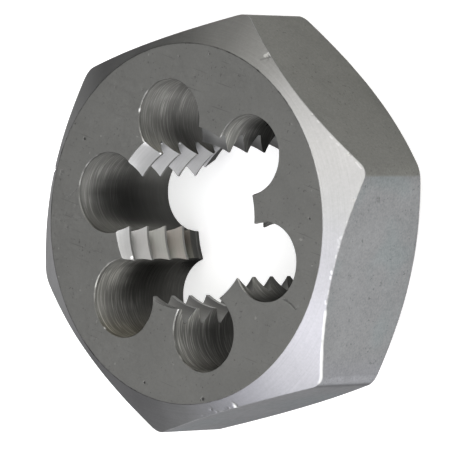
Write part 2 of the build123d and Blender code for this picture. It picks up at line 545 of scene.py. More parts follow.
# outward normals for denting
din = row_z - np.array([0, 0, T / 2])
nin = np.zeros_like(row_z)
e_th = np.roll(row_z, -1, 1) - np.roll(row_z, 1, 1)
e_row = np.gradient(row_z, axis=0)
nin = np.cross(e_row, e_th)
nin /= np.linalg.norm(nin, axis=2)[..., None] + 1e-12
if (nin * din).sum() < 0:
    nin = -nin
shell_wear_and_glint = np.zeros(row_z.shape[:2])
chip_noise = [Noise1(900 + k, 0.09, 20) for k in range(3)]
pos = row_z.copy()
for (x, y, z), ra, rc, dep, bright in NICKS:
    rel = row_z - np.array([x, y, z])
    mid = math.radians(round(math.degrees(math.atan2(y, x)) / 60) * 60)
    s_al = rel[..., 0] * -math.sin(mid) + rel[..., 1] * math.cos(mid)
    s_ac = np.sqrt(np.maximum((rel ** 2).sum(2) - s_al ** 2, 0))
    d = np.hypot(s_al / ra, s_ac / rc)
    rr = 1 + 0.28 * chip_noise[0](row_z[..., 0] * 1.3 + row_z[..., 2]) + 0.22 * chip_noise[1](row_z[..., 1] * 1.1 - row_z[..., 2] * 0.8)
    a = smooth(1 - d / rr)
    out = np.array([x, y, 0.0]) / math.hypot(x, y) * 0.8 + np.array([0, 0, 0.6 if z > T / 2 else -0.6])
    pos -= (a * dep * (1 + 0.3 * chip_noise[2](row_z[..., 0] + row_z[..., 1])))[..., None] * out
    shell_wear_and_glint = np.maximum(shell_wear_and_glint, bright * smooth(1.25 * a))
# where the front edge is bright: a painted highlight along its widened rounding on the right, and rubbed wear
azimuth = np.degrees((theta + np.pi) % (2 * np.pi) - np.pi)
rub_and_highlight = smooth((azimuth + 31.0) / 1.5) * smooth((-8.6 - azimuth) / 2.0) * (0.80 + 0.15 * edge_s(along))
rub_and_highlight = np.maximum(rub_and_highlight, 0.16 * smooth((azimuth + 12) / 5.0) * smooth((30 - azimuth) / 4.0) * np.maximum(edge_r(along), 0))
for k, f in ((-6, 0.2), (-5, 0.7), (-4, 1.0), (-3, 1.0), (-2, 0.7), (-1, 0.25)):
    shell_wear_and_glint[len(top_rows) + k] = np.maximum(shell_wear_and_glint[len(top_rows) + k], f * rub_and_highlight)

n0 = len(P)
P.extend([tuple(p) for p in pos.reshape(-1, 3)])
grid = n0 + np.arange(nrow * ncol).reshape(nrow, ncol)
a = grid[:-1]
b = grid[1:]
an, bn = np.roll(a, -1, 1), np.roll(b, -1, 1)
quads = np.stack([a, b, bn, an], -1)          # rows-1, ncol, 4
QUADS = quads.reshape(-1, 4)
QM = np.repeat(np.array(band), ncol)
q0, q1, q2 = (np.array([P[i] for i in QUADS[:, k]]) for k in range(3))
qn = np.cross(q1 - q0, q2 - q0)
if (qn * (q0 - np.array([0, 0, T / 2]))).sum() < 0:
    QUADS = QUADS[:, ::-1]
front_rim = list(grid[0])
back_rim = list(grid[-1])

# ---------------------------------------------------------------------------
# The two flat faces, with pits and scratches
# ---------------------------------------------------------------------------
PITS = [  # x, y, radius, depth on the front face
    (-14.55, 4.43, 0.17, 0.05), (-16.20, 5.46, 0.13, 0.04), (-0.92, -15.85, 0.16, 0.05),
    (6.54, -15.17, 0.26, 0.06), (6.30, -15.35, 0.13, 0.04), (14.56, 4.80, 0.17, 0.04),
    (-1.47, 16.30, 0.12, 0.035), (-5.05, 15.16, 0.12, 0.03),
    (-14.49, -4.37, 0.15, 0.030), (-14.00, -2.12, 0.24, 0.014), (-16.55, 0.62, 0.28, 0.026), (-16.70, 0.25, 0.22, 0.016),
    (-14.98, -3.10, 0.18, 0.010), (-16.49, -3.60, 0.22, 0.010), (-16.10, -4.40, 0.16, 0.008), (-15.82, -5.45, 0.17, 0.009),
]
for k in range(26):
    aa, rr = rng.uniform(0, 2 * np.pi), math.sqrt(rng.uniform(12.2 ** 2, 16.7 ** 2))
    PITS.append((rr * math.cos(aa), rr * math.sin(aa), rng.uniform(0.05, 0.10), rng.uniform(0.010, 0.025)))
BACK_PITS = []
for k in range(30):
    aa, rr = rng.uniform(0, 2 * np.pi), math.sqrt(rng.uniform(12.2 ** 2, 16.6 ** 2))
    BACK_PITS.append((rr * math.cos(aa), rr * math.sin(aa), rng.uniform(0.06, 0.16), rng.uniform(0.02, 0.07)))
SCRATCHES = [  # polyline, half width, depth
    ([(13.60, -3.32), (14.04, -3.34), (14.55, -3.48), (14.91, -3.65), (15.19, -3.80)], 0.10, 0.030),
    ([(15.19, -3.80), (15.32, -3.66), (15.48, -3.40)], 0.09, 0.012),
    ([(13.72, -3.31), (14.08, -3.36), (14.55, -3.48), (14.91, -3.66)], 0.16, 0.040),
    ([(8.9, -14.6), (8.2, -15.0), (7.4, -15.5)], 0.06, 0.02),
    ([(-16.6, -3.88), (-15.0, -3.56), (-13.35, -3.14), (-12.6, -3.02)], 0.05, 0.009),
    ([(-15.05, -1.42), (-14.6, -0.98), (-14.2, -0.47)], 0.07, 0.012),
    ([(-11.2, 7.41), (-10.0, 7.72)], 0.05, 0.008),
]
BACK_SCRATCHES = [([(-12.6, -6.4), (-13.4, -5.2), (-13.9, -4.1)], 0.08, 0.03)]


def line_distance(p, line):
    line = np.array(line, float)
    best = np.full(len(p), 1e9)
    for a, b in zip(line[:-1], line[1:]):
        e = b - a
        t = np.clip(((p - a) @ e) / (e @ e), 0, 1)
        best = np.minimum(best, np.linalg.norm(p - a - t[:, None] * e, axis=1))
    return best


def face_points(pits, scratches, seed):
    r = np.random.default_rng(seed)
    pts = []
    s = 0.46
    ys = np.arange(-17.4, 17.4, s * 0.866)
    for k, y in enumerate(ys):
        xs = np.arange(-17.4, 17.4, s) + (s / 2 if k % 2 else 0)
        pts.append(np.c_[xs, np.full(len(xs), y)])
    pts = np.vstack(pts) + r.uniform(-0.05, 0.05, (sum(len(p) for p in pts), 2))
    extra = []
    for x, y, rad, dep in pits:
        d = np.hypot(pts[:, 0] - x, pts[:, 1] - y)
        pts = pts[d > rad * 1.5]
        extra.append(np.array([[x, y]]))
        for q, m in ((0.3, 6), (0.6, 10), (0.85, 14), (1.05, 16), (1.35, 14)):
            t = np.arange(m) * 2 * np.pi / m + q * 3
            extra.append(np.c_[x + q * rad * np.cos(t), y + q * rad * np.sin(t)])
    for line, hw, dep in scratches:
        pts = pts[line_distance(pts, line) > hw * 1.6]
        line = np.array(line, float)
        for a, b in zip(line[:-1], line[1:]):
            e = b - a
            L = np.linalg.norm(e)
            n = np.array([-e[1], e[0]]) / L
            for t in np.arange(0, 1, 0.07 / L):
                for w in (-1.25, -0.8, -0.4, 0, 0.4, 0.8, 1.25):
                    extra.append((a + e * t + n * w * hw)[None])
    return np.vstack([pts] + extra)


def face_depth(p, pits, scratches, seed):
    n1, n2 = Noise1(seed, 0.07, 60), Noise1(seed + 1, 0.06, 60)
    dep = np.zeros(len(p))
    mask = np.zeros(len(p))
    for x, y, rad, d0 in pits:
        q = np.hypot(p[:, 0] - x, p[:, 1] - y) / (rad * (1 + 0.22 * n1(p[:, 0]) + 0.22 * n2(p[:, 1])))
        a = smooth((1.08 - q) / 0.6)
        dep = np.maximum(dep, 0.35 * d0 * a)
        mask = np.maximum(mask, a * min(1.0, d0 / 0.045))
    for line, hw, d0 in scratches:
        q = line_distance(p, line) / (hw * (1 + 0.25 * n1(p[:, 0]) + 0.25 * n2(p[:, 1])))
        a = smooth((1.05 - q) / 0.8)
        dep = np.maximum(dep, (0.6 if d0 > 0.015 else 0.2) * d0 * a)
        mask = np.maximum(mask, a * min(0.8, 0.20 + d0 / 0.05))
    return dep, mask


pit_mask = {}
for z, rim, inner, pits, scr, sign in (
    (T, front_rim, front_inner, PITS, SCRATCHES, 1),
    (0.0, back_rim, back_inner, BACK_PITS, BACK_SCRATCHES, -1),
):
    loops = [rim] + inner
    l2 = [np.array([P[i] for i in l])[:, :2] for l in loops]
    base = len(P)

    def lift(q, z=z, pits=pits, scr=scr, sign=sign):
        dep, mask = face_depth(q, pits, scr, 40 if sign > 0 else 60)
        return np.c_[q, z - sign * dep]

    pts = face_points(pits, scr, 5)
    f = patch(loops, l2, pts, lift, 0.05)
    added = np.array(P[base:])
    dep, mask = face_depth(added[:, :2], pits, scr, 40 if sign > 0 else 60)
    for k in range(len(added)):
        pit_mask[base + k] = mask[k]
    if sign < 0:
        f = f[:, ::-1]
    TRIS.append(f)
    MATS.append(np.full(len(f), FACE))

# ---------------------------------------------------------------------------
# Thread: flanks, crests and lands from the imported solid
# ---------------------------------------------------------------------------
q = np.array(P)
tn = nrm[is_thread]
tc = cen[is_thread]
rad = tc[:, :2] - THREAD_C
dist = np.linalg.norm(rad, axis=1)
rad /= dist[:, None]
facing = -(tn[:, 0] * rad[:, 0] + tn[:, 1] * rad[:, 1])
kind = np.where(facing > 0.93, CREST, FLANK)
lean = (facing > 0.80) & (facing <= 0.96) & (np.abs(tn[:, 2]) > 0.3) & (tn[:, 2] < 0)
kind[lean] = LAND
TRIS.append(inner_tris)
MATS.append(kind)
print("thread tris", len(inner_tris), "crest", (kind == CREST).sum(), "land", (kind == LAND).sum())

# ---------------------------------------------------------------------------
# One mesh
# ---------------------------------------------------------------------------
all_tris = np.vstack(TRIS)
all_mats = np.concatenate(MATS)
co = np.array(P)
polys = [tuple(int(i) for i in t) for t in all_tris] + [tuple(int(i) for i in t) for t in QUADS]
mats = np.concatenate([all_mats, QM])
used = np.unique(np.concatenate([all_tris.ravel(), QUADS.ravel()]))
remap = np.full(len(co), -1)
remap[used] = np.arange(len(used))
low, high = (np.array(v) * 1000.0 for v in cad_bounds)
co = np.clip(co, low, high)
mesh = bpy.data.meshes.new("die_body")
mesh.from_pydata([tuple(p) for p in co[used] / 1000.0], [], [tuple(int(remap[i]) for i in p) for p in polys])
mesh.polygons.foreach_set("material_index", mats.astype(np.int32))
mesh.polygons.foreach_set("use_smooth", np.ones(len(polys), bool))

pit = np.zeros(len(used), np.float32)
for i, m in pit_mask.items():
    if remap[i] >= 0:
        pit[remap[i]] = m
wear_and_glint = np.zeros(len(used), np.float32)
g = remap[grid.ravel()]
wear_and_glint[g] = shell_wear_and_glint.ravel()
# painted shade in the crease where the face meets the chamfer, heaviest at the top and left of the front, with an even
# band of it round the back
rim_painted_shade = np.zeros((nrow, ncol))
rim_shade_amount = np.interp(azimuth, [-180, -110, -75, -40, 30, 60, 85, 150, 180], [0.75, 0.95, 0.45, 0.05, 0.10, 0.55, 0.95, 0.75, 0.75])
rim_shade_amount = np.clip(rim_shade_amount * (0.75 + 0.35 * rim_s(along) + 0.35 * rim_r(along)), 0, 1)
for k in (1, 2, 3):
    rim_painted_shade[k] = rim_shade_amount
    rim_painted_shade[-1 - k] = 0.35 + 0.25 * rim_s(along)
rim = np.zeros(len(used), np.float32)
rim[g] = rim_painted_shade.ravel()
# painted light and shade round the front chamfer: each direction made lighter or darker as the light falls on it
turning_and_painted_light = np.ones((nrow, ncol))
turning_and_painted_light[:len(top_rows) - 2] = np.interp(
    azimuth,
    [-180, -165, -140, -117, -98, -88, -72, -56, -46, -35, -20, 6, 24, 36, 45, 75, 90, 110, 124, 142, 160, 180],
    [0.70, 0.78, 0.78, 0.48, 0.80, 0.94, 1.06, 0.93, 1.09, 1.36, 1.32, 1.38, 1.25, 1.30, 1.30, 1.20, 0.93, 1.38, 0.78, 0.30, 0.54, 0.70])
chamfer_painted_light = np.ones(len(used), np.float32)
chamfer_painted_light[g] = turning_and_painted_light.ravel()

# ---- painted light and shade, and stain: how bright the steel is made, and how brown, place by place
used_co = co[used]
hole_painted_light = np.ones(len(used))
hole_stain = np.zeros(len(used))
hole_rings = np.zeros(len(used))
around = np.degrees(np.arctan2(used_co[:, 1], used_co[:, 0]))

# chip holes: painted light near the front, painted shade deep inside, and painted patches of light and shade round each
# wall
DEPTH_Z = [0.0, 1.0, 2.0, 4.0, 6.0, 7.5, 9.0, 10.5, 11.5, 12.5, 13.0]
DEPTH_LIGHT = [1.50, 1.45, 1.33, 1.34, 1.20, 1.32, 2.25, 3.95, 5.15, 6.1, 2.8]
WALL_LIGHT_PATCHES = [  # painted light (+) and painted shade (-) on the walls: hole, angle, height, half angle, half height, strength (log)
    (2, 160, 6.5, 60, 5.5, 1.32), (2, 216, 8.5, 24, 3.0, -0.20), (2, 170, 11.8, 60, 1.5, -0.25), (2, 247, 9.0, 30, 5.0, 1.00),
    (2, 226, 3.5, 22, 2.2, 0.55), (2, 222, 7.5, 14, 2.0, -0.25),
    (3, 150, 7.0, 34, 5.0, 1.10), (3, 205, 6.5, 45, 4.5, -0.85), (3, 250, 7.5, 28, 5.0, 0.80),
    (3, 203, 10.0, 28, 2.0, -0.40), (3, 266, 6.0, 20, 4.5, 1.30), (3, 162, 2.0, 24, 2.8, 0.90), (3, 228, 10.6, 16, 2.0, -0.15),
    (3, 132, 9.0, 14, 2.0, 0.50),
    (4, 150, 6.0, 40, 3.5, -0.40), (4, 190, 5.5, 40, 3.5, -0.38), (4, 250, 9.0, 20, 2.5, -0.25), (4, 250, 7.0, 30, 5.0, 0.70),
    (4, 120, 6.5, 18, 3.8, 1.45), (4, 158, 10.6, 36, 2.4, 0.95), (4, 215, 10.0, 38, 2.4, -0.50), (4, 130, 0.3, 24, 1.6, -2.00),
    (1, 165, 6.0, 50, 3.5, -0.70), (1, 180, 10.5, 30, 4.0, 0.65), (1, 120, 10.0, 20, 4.0, -0.30), (1, 145, 7.5, 14, 2.0, -0.50),
    (5, 170, 8.0, 40, 4.0, 0.35), (5, 215, 7.0, 40, 3.5, -0.20), (5, 166, 9.6, 22, 3.8, 1.15), (5, 262, 10.8, 30, 4.0, -0.75),
    (0, 282, 10.0, 40, 6.5, -1.90), (0, 235, 9.5, 50, 5.0, 0.75), (1, 150, 9.0, 80, 6.0, 0.22),
]
is_wall = np.zeros(len(co), bool)
for f, k in zip(TRIS, MATS):
    is_wall[f[k == WALL].ravel()] = True
is_wall = is_wall[used]
for h, (hx, hy, hr) in enumerate(HOLES):
    dx, dy = used_co[:, 0] - hx, used_co[:, 1] - hy
    mine = is_wall & (np.abs(np.hypot(dx, dy) - hr) < 0.4)
    phi = np.degrees(np.arctan2(dy, dx))
    zz = used_co[:, 2]
    warp = Noise1(700 + h, 12.0, 400)(phi) * 0.55 + Noise1(720 + h, 31.0, 400)(phi) * 0.5
    level = np.log(np.interp(zz + warp * smooth((12.2 - zz) / 2.0), DEPTH_Z, DEPTH_LIGHT))
    for hh, at, z0, da, dz, strength in WALL_LIGHT_PATCHES:
        if hh == h:
            level = level + strength * bell(phi, at, da * 1.5) * smooth(1 - np.abs(zz + 0.6 * warp - z0) / (dz * 1.4))
    hole_painted_light[mine] = np.exp(level)[mine]
    hole_rings[mine] = ((0.7, 0.8, 0.60, 0.50, 0.75, 1.05)[h] * (CALM[h] + (1 - CALM[h]) * smooth((zz - 4.0) / 5.0)))[mine]
    stained = (0.10, 0.20, 0.35, 0.15, 1.00, 0.35)[h]
    hole_stain[mine] = (0.12 + stained * (0.15 + 0.85 * bell(phi, 262, 55) * smooth((zz - 1.0) / 3.0)))[mine]
    # brightness of the front rims of each hole, painted into the colour: partly wear, partly painted highlight
    bright = 0.04 + 0.05 * Noise1(740 + h, 16.0, 400)(phi) + 0.04 * Noise1(760 + h, 7.0, 400)(phi)
    for hh, at, wide, more, level in RIM_WEAR_AND_GLINT:
        if hh == h:
            bright = np.maximum(bright, level * bell(phi, at, wide * 1.3))
    near = mine & (zz > T - 0.4)
    wear_and_glint[near] = np.clip(bright, 0, 1)[near]

# the land at 207 degrees has a brownish oil stain between its deeper teeth; the tone of the lands is painted light and
# shade: land by land and tooth by tooth lighter or darker, and on this land darker down the deeper teeth and near the
# back
deep = smooth((12.6 - used_co[:, 2]) / 10.0)
land_207 = bell(around, 207, 40)
land_painted_light = (1 - 0.45 * deep * land_207) * (1 - 0.25 * land_207) * (1 + 0.30 * land_207 * smooth((used_co[:, 2] - 10.4) / 0.8)) * (1 - 0.62 * land_207 * smooth((3.7 - used_co[:, 2]) / 0.8))
land_painted_light = land_painted_light * (1 - 0.13 * bell(around, 147, 45)) * (1 - 0.50 * bell(around, 267, 45))
land_painted_light = land_painted_light * (1 - 0.22 * bell(around, 87, 40))
first_tooth = smooth((used_co[:, 2] - 10.4) / 0.8)
land_painted_light = land_painted_light * (1 - 0.09 * bell(around, 147, 45) * first_tooth)
land_painted_light = land_painted_light * (1 + 0.34 * land_207 * (1 - first_tooth)) * (1 - 0.55 * smooth((used_co[:, 2] - 11.2) / 0.4) * bell(around, 96, 12))
land_painted_light = land_painted_light * (1 + 0.20 * smooth((used_co[:, 2] - 11.2) / 0.4) * bell(around, 84, 8))
# painted light: how much lighter the flanks are made towards the roots of the teeth, where they lie in shade
root_painted_light = 1 - 0.75 * bell(around, 147, 45) + land_207 * (-0.35 - 0.35 * first_tooth)
land_stain = deep * land_207

for label, values in (("pit", pit), ("wear_and_glint", wear_and_glint), ("rim", rim), ("chamfer_painted_light", chamfer_painted_light), ("hole_rings", hole_rings),
                      ("root_painted_light", root_painted_light), ("hole_painted_light", hole_painted_light), ("hole_stain", hole_stain),
                      ("land_painted_light", land_painted_light), ("land_stain", land_stain)):
    mesh.attributes.new(label, "FLOAT", "POINT").data.foreach_set("value", np.asarray(values, np.float32))
mesh.update()

bm = bmesh.new()
bm.from_mesh(mesh)
# small chips on the corners of teeth: the mesh is refined there, then pushed in, and each is painted bright, partly
# worn metal and partly painted highlight
CHIPS = [  # place, radius, depth, direction inwards
    ((-6.05, -5.00, 12.45), 0.26, 0.10, (-0.6, 0.6, -0.5)),
    ((-7.16, 6.02, 7.75), 0.16, 0.05, (-0.5, -0.7, -0.5)),
    ((-5.69, 5.42, 11.94), 0.16, 0.05, (-0.6, 0.6, -0.5)),
    ((-7.20, 5.98, 10.30), 0.11, 0.03, (-0.5, -0.7, -0.5)),
]
layer = bm.verts.layers.float["wear_and_glint"]
for place, radius, depth, way in CHIPS:
    c = Vector(place) / 1000.0
    r = radius / 1000.0
    for _ in range(5):
        es = [e for e in bm.edges if e.calc_length() > r * 0.3
              and min((e.verts[0].co - c).length, (e.verts[1].co - c).length,
                      ((e.verts[0].co + e.verts[1].co) / 2 - c).length) < r * 1.5]
        if not es:
            break
        bmesh.ops.subdivide_edges(bm, edges=es, cuts=1, use_grid_fill=False)
        bmesh.ops.triangulate(bm, faces=[f for f in bm.faces if len(f.verts) > 4])
    w = Vector(way).normalized() * depth / 1000.0
    for v in bm.verts:
        d = (v.co - c).length / r
        if d < 1:
            k = (1 - d) ** 2 * (1 + 2 * d)
            v.co += w * k
            v[layer] = max(v[layer], min(1.0, 1.6 * k))
open_edges = sum(1 for e in bm.edges if not e.is_manifold)
for e in bm.edges:
    if len(e.link_faces) == 2:
        same = e.link_faces[0].material_index == e.link_faces[1].material_index
        lim = 38 if same and e.link_faces[0].material_index in (WALL, CHAMFER, FLAT) else 24
        e.smooth = e.calc_face_angle(0.0) < math.radians(lim)
vol = bm.calc_volume(signed=True)
bm.to_mesh(mesh)
bm.free()
print("mesh", len(used), "verts", len(all_tris) + 2 * len(QUADS), "tris", "open edges", open_edges, "volume mm3", round(vol * 1e9, 1))

die = bpy.data.objects.new("die_body", mesh)
bpy.context.scene.collection.objects.link(die)
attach(die, "root")
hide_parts("hex_die")

# ---------------------------------------------------------------------------
# Materials
# ---------------------------------------------------------------------------


def material(name, colour, rough, metallic=1.0):
    m = bpy.data.materials.new(name)
    m.use_nodes = True
    b = m.node_tree.nodes["Principled BSDF"]
    b.inputs["Base Color"].default_value = (*colour, 1)
    b.inputs["Roughness"].default_value = rough
    b.inputs["Metallic"].default_value = metallic
    return m


class Nodes:
    """Short calls for building a node tree."""

    def __init__(self, mat):
        self.t = mat.node_tree
        self.bsdf = self.t.nodes["Principled BSDF"]
        self.coord = self.t.nodes.new("ShaderNodeTexCoord").outputs["Object"]

    def link(self, a, b):
        self.t.links.new(a, b)

    def put(self, value, socket):
        if isinstance(value, bpy.types.NodeSocket):
            self.link(value, socket)
        else:
            socket.default_value = value

    def math(self, op, a, b=0.0, c=0.0, clamp=False):
        n = self.t.nodes.new("ShaderNodeMath")
        n.operation, n.use_clamp = op, clamp
        self.put(a, n.inputs[0])
        self.put(b, n.inputs[1])
        self.put(c, n.inputs[2])
        return n.outputs[0]

    def scaled(self, x, y, z, shift=(0, 0, 0)):
        n = self.t.nodes.new("ShaderNodeMapping")
        n.inputs["Scale"].default_value = (x, y, z)
        n.inputs["Location"].default_value = shift
        self.link(self.coord, n.inputs["Vector"])
        return n.outputs[0]

    def noise(self, vec, scale, detail=2.0, rough=0.5):
        n = self.t.nodes.new("ShaderNodeTexNoise")
        self.link(vec, n.inputs["Vector"])
        n.inputs["Scale"].default_value = scale
        n.inputs["Detail"].default_value = detail
        n.inputs["Roughness"].default_value = rough
        return n.outputs["Fac"]

    def cells(self, vec, scale):
        n = self.t.nodes.new("ShaderNodeTexVoronoi")
        self.link(vec, n.inputs["Vector"])
        n.inputs["Scale"].default_value = scale
        return n

    def step(self, x, low, high, a=0.0, b=1.0):
        n = self.t.nodes.new("ShaderNodeMapRange")
        n.interpolation_type = "SMOOTHSTEP"
        self.put(x, n.inputs["Value"])
        n.inputs["From Min"].default_value = low
        n.inputs["From Max"].default_value = high
        n.inputs["To Min"].default_value = a
        n.inputs["To Max"].default_value = b
        return n.outputs["Result"]

    def line(self, x, low, high, a=0.0, b=1.0):
        n = self.t.nodes.new("ShaderNodeMapRange")
        self.put(x, n.inputs["Value"])
        n.inputs["From Min"].default_value = low
        n.inputs["From Max"].default_value = high
        n.inputs["To Min"].default_value = a
        n.inputs["To Max"].default_value = b
        return n.outputs["Result"]

    def mix(self, fac, a, b):
        n = self.t.nodes.new("ShaderNodeMix")
        n.data_type = "RGBA"
        self.put(fac, n.inputs["Factor"])
        for v, sock in ((a, n.inputs[6]), (b, n.inputs[7])):
            self.put((*v, 1) if isinstance(v, tuple) else v, sock)
        return n.outputs[2]

    def times(self, colour, factor):
        """Colour times a grey factor."""
        n = self.t.nodes.new("ShaderNodeVectorMath")
        n.operation = "SCALE"
        self.put(colour, n.inputs[0])
        self.put(factor, n.inputs["Scale"])
        return n.outputs[0]

    def multiply(self, a, b):
        """Two colours multiplied."""
        n = self.t.nodes.new("ShaderNodeVectorMath")
        n.operation = "MULTIPLY"
        self.put(a, n.inputs[0])
        self.put(b, n.inputs[1])
        return n.outputs[0]

    def xyz(self):
        n = self.t.nodes.new("ShaderNodeSeparateXYZ")
        self.link(self.coord, n.inputs[0])
        return n.outputs[0], n.outputs[1], n.outputs[2]

    def attribute(self, name):
        n = self.t.nodes.new("ShaderNodeAttribute")
        n.attribute_name = name
        return n.outputs["Fac"]

    def segment(self, a, b, near, far, low):
        """Falls to low within near of the line from a to b (m), and is 1 beyond far."""
        a, b = Vector(a), Vector(b)
        t = (b - a).normalized()

        def dot(v, w):
            d = self.t.nodes.new("ShaderNodeVectorMath")
            d.operation = "DOT_PRODUCT"
            self.put(v, d.inputs[0])
            self.put(w, d.inputs[1])
            return d.outputs["Value"]

        off = self.t.nodes.new("ShaderNodeVectorMath")
        off.operation = "SUBTRACT"
        self.link(self.coord, off.inputs[0])
        off.inputs[1].default_value = a
        away = off.outputs[0]
        s = dot(away, t)
        over = self.math("MAXIMUM", self.math("SUBTRACT", 0.0, s), self.math("SUBTRACT", s, (b - a).length))
        over = self.math("MAXIMUM", over, 0.0)
        side = self.math("SUBTRACT", dot(away, away), self.math("MULTIPLY", s, s))
        d = self.math("SQRT", self.math("ADD", self.math("MAXIMUM", side, 0.0), self.math("MULTIPLY", over, over)))
        return self.step(d, near, far, low, 1.0)

    def bump(self, height, strength, distance, normal=None):
        n = self.t.nodes.new("ShaderNodeBump")
        n.inputs["Strength"].default_value = strength
        n.inputs["Distance"].default_value = distance
        self.link(height, n.inputs["Height"])
        if normal is not None:
            self.link(normal, n.inputs["Normal"])
        return n.outputs["Normal"]

    def finish(self, colour, rough, normal=None):
        self.link(colour, self.bsdf.inputs["Base Color"])
        self.link(rough, self.bsdf.inputs["Roughness"])
        if normal is not None:
            self.link(normal, self.bsdf.inputs["Normal"])


# grey of the steel on each kind of surface; besides their different finishes, the gaps between them hold painted light
# and shade: the face is set lighter, the sides darker
FACE_TONE = 0.413
SIDE_TONE = 0.187
CHAMFER_TONE = 0.20
HOLE_TONE = 0.055
FLANK_TONE = 0.27


def grain(n, fine, middle, wide, speck, size=1500):
    """Grey factor of blasted or ground steel: grain, mottling, dark specks."""
    plain = n.scaled(1, 1, 1)
    g1 = n.noise(plain, 4600, 2.0, 0.6)
    g2 = n.noise(plain, size, 3.0, 0.55)
    g3 = n.noise(plain, 240, 2.0, 0.5)
    f = n.math("ADD", n.line(g1, 0.2, 0.8, 1 - fine, 1 + fine), n.line(g2, 0.25, 0.75, -middle, middle))
    f = n.math("ADD", f, n.line(g3, 0.3, 0.7, -wide, wide))
    specks = n.noise(plain, 3300, 1.0, 0.5)
    few = n.noise(plain, 620, 1.0, 0.5)
    s = n.math("MULTIPLY", n.step(specks, 0.62, 0.74), n.step(few, 0.45, 0.6))
    f = n.math("MULTIPLY", f, n.math("SUBTRACT", 1.0, n.math("MULTIPLY", s, speck)))
    return f, g1, g2


mats_made = []
TINT = (0.6, 0.6, 0.6, 1)

# front and back faces
m = material("steel_face", (0.3, 0.3, 0.3), 0.45)
n = Nodes(m)
f, g1, g2 = grain(n, 0.065, 0.018, 0.045, 0.30, 2400)
# faint hairline scratches, lying every way
for k, (turn, seed) in enumerate(((25, 1.0), (80, 5.0), (140, 9.0))):
    line_map = n.t.nodes.new("ShaderNodeMapping")
    line_map.inputs["Rotation"].default_value = (0, 0, math.radians(turn))
    line_map.inputs["Scale"].default_value = (160, 3800, 1)
    line_map.inputs["Location"].default_value = (seed, seed * 2, 0)
    n.link(n.coord, line_map.inputs["Vector"])
    lines = n.noise(line_map.outputs[0], 1.0, 1.0, 0.5)
    f = n.math("MULTIPLY", f, n.step(lines, 0.70, 0.78, 1.0, 0.80))
col = n.times((FACE_TONE, FACE_TONE, FACE_TONE * 0.965), f)
light = n.noise(n.scaled(1, 1, 1, (6, 2, 7)), 2100, 0.0, 0.5)
col = n.times(col, n.step(light, 0.82, 0.88, 1.0, 1.4))
pit_at = n.attribute("pit")
col = n.mix(pit_at, col, (0.07, 0.07, 0.068))
# painted shade along the crease at the rim of the face, from the rim attribute
col = n.times(col, n.line(n.attribute("rim"), 0.0, 1.0, 1.0, 0.45))
rough = n.math("ADD", n.line(g2, 0.2, 0.8, 0.437, 0.503), n.math("MULTIPLY", pit_at, 0.35), clamp=True)
n.finish(col, rough, n.bump(n.math("ADD", g1, g2), 0.08, 0.000008))
mats_made.append(m)

# the six sides
m = material("steel_side", (0.3, 0.3, 0.3), 0.45)
m.node_tree.nodes["Principled BSDF"].inputs["Specular Tint"].default_value = TINT
n = Nodes(m)
x, y, z = n.xyz()
# painted light and shade: each side made lighter or darker as the light falls on it; the top two sides darker and
# warmer, the low two sides darker
top_sides_light = n.step(y, 0.00968, 0.01000)
low_sides_shade = n.step(y, -0.0103, -0.0107)
front_x = n.step(x, 0.0165, 0.0170)
# painted light and shade round the lower right corner: a lighter band, then a darker band
corner_painted_light = n.math("MULTIPLY", n.math("MULTIPLY", n.step(y, -0.0094, -0.0100), n.step(y, -0.0106, -0.0103)), front_x)
corner_painted_shade = n.math("MULTIPLY", n.math("MULTIPLY", n.step(y, -0.0105, -0.0107), n.step(y, -0.0111, -0.0109)), front_x)
f, g1, g2 = grain(n, 0.17, 0.115, 0.055, 0.32)
level = n.math("ADD", 1.02, n.math("ADD", n.math("MULTIPLY", top_sides_light, -0.24), n.math("MULTIPLY", low_sides_shade, -0.44)))
# painted shade, darker from just below the upper corners up over the top sides
level = n.math("ADD", level, n.math("MULTIPLY", n.step(y, 0.0082, 0.0098), -0.13))
level = n.math("ADD", level, n.math("MULTIPLY", corner_painted_light, 0.20))
level = n.math("ADD", level, n.math("MULTIPLY", corner_painted_shade, -0.14))
col = n.times((SIDE_TONE * 0.985, SIDE_TONE, SIDE_TONE * 1.012), n.math("MULTIPLY", f, level))
# the lighter sides drift between grey and a faint teal at random; the bluer tint low down and the warm tint of the top
# sides are painted light colour
teal = n.step(n.noise(n.scaled(1, 1, 1, (3, 5, 1)), 170, 1.0, 0.5), 0.50, 0.66)
cool = n.multiply(n.mix(teal, (1.0, 1.0, 1.0), (0.945, 1.0, 1.0)),
                  n.mix(n.step(y, -0.0070, -0.0098), (1.0, 1.0, 1.0), (1.0, 0.995, 1.03)))
tint = n.mix(top_sides_light, cool, (1.02, 1.0, 0.915))
col = n.multiply(col, tint)
wear_and_glint_at = n.attribute("wear_and_glint")
# painted bright where worn, and as painted highlight along the lit front edge
col = n.mix(wear_and_glint_at, col, (0.62, 0.62, 0.61))
rough = n.line(g2, 0.2, 0.8, 0.42, 0.56)
n.finish(col, rough, n.bump(n.math("ADD", g1, g2), 0.3, 0.000012))
mats_made.append(m)

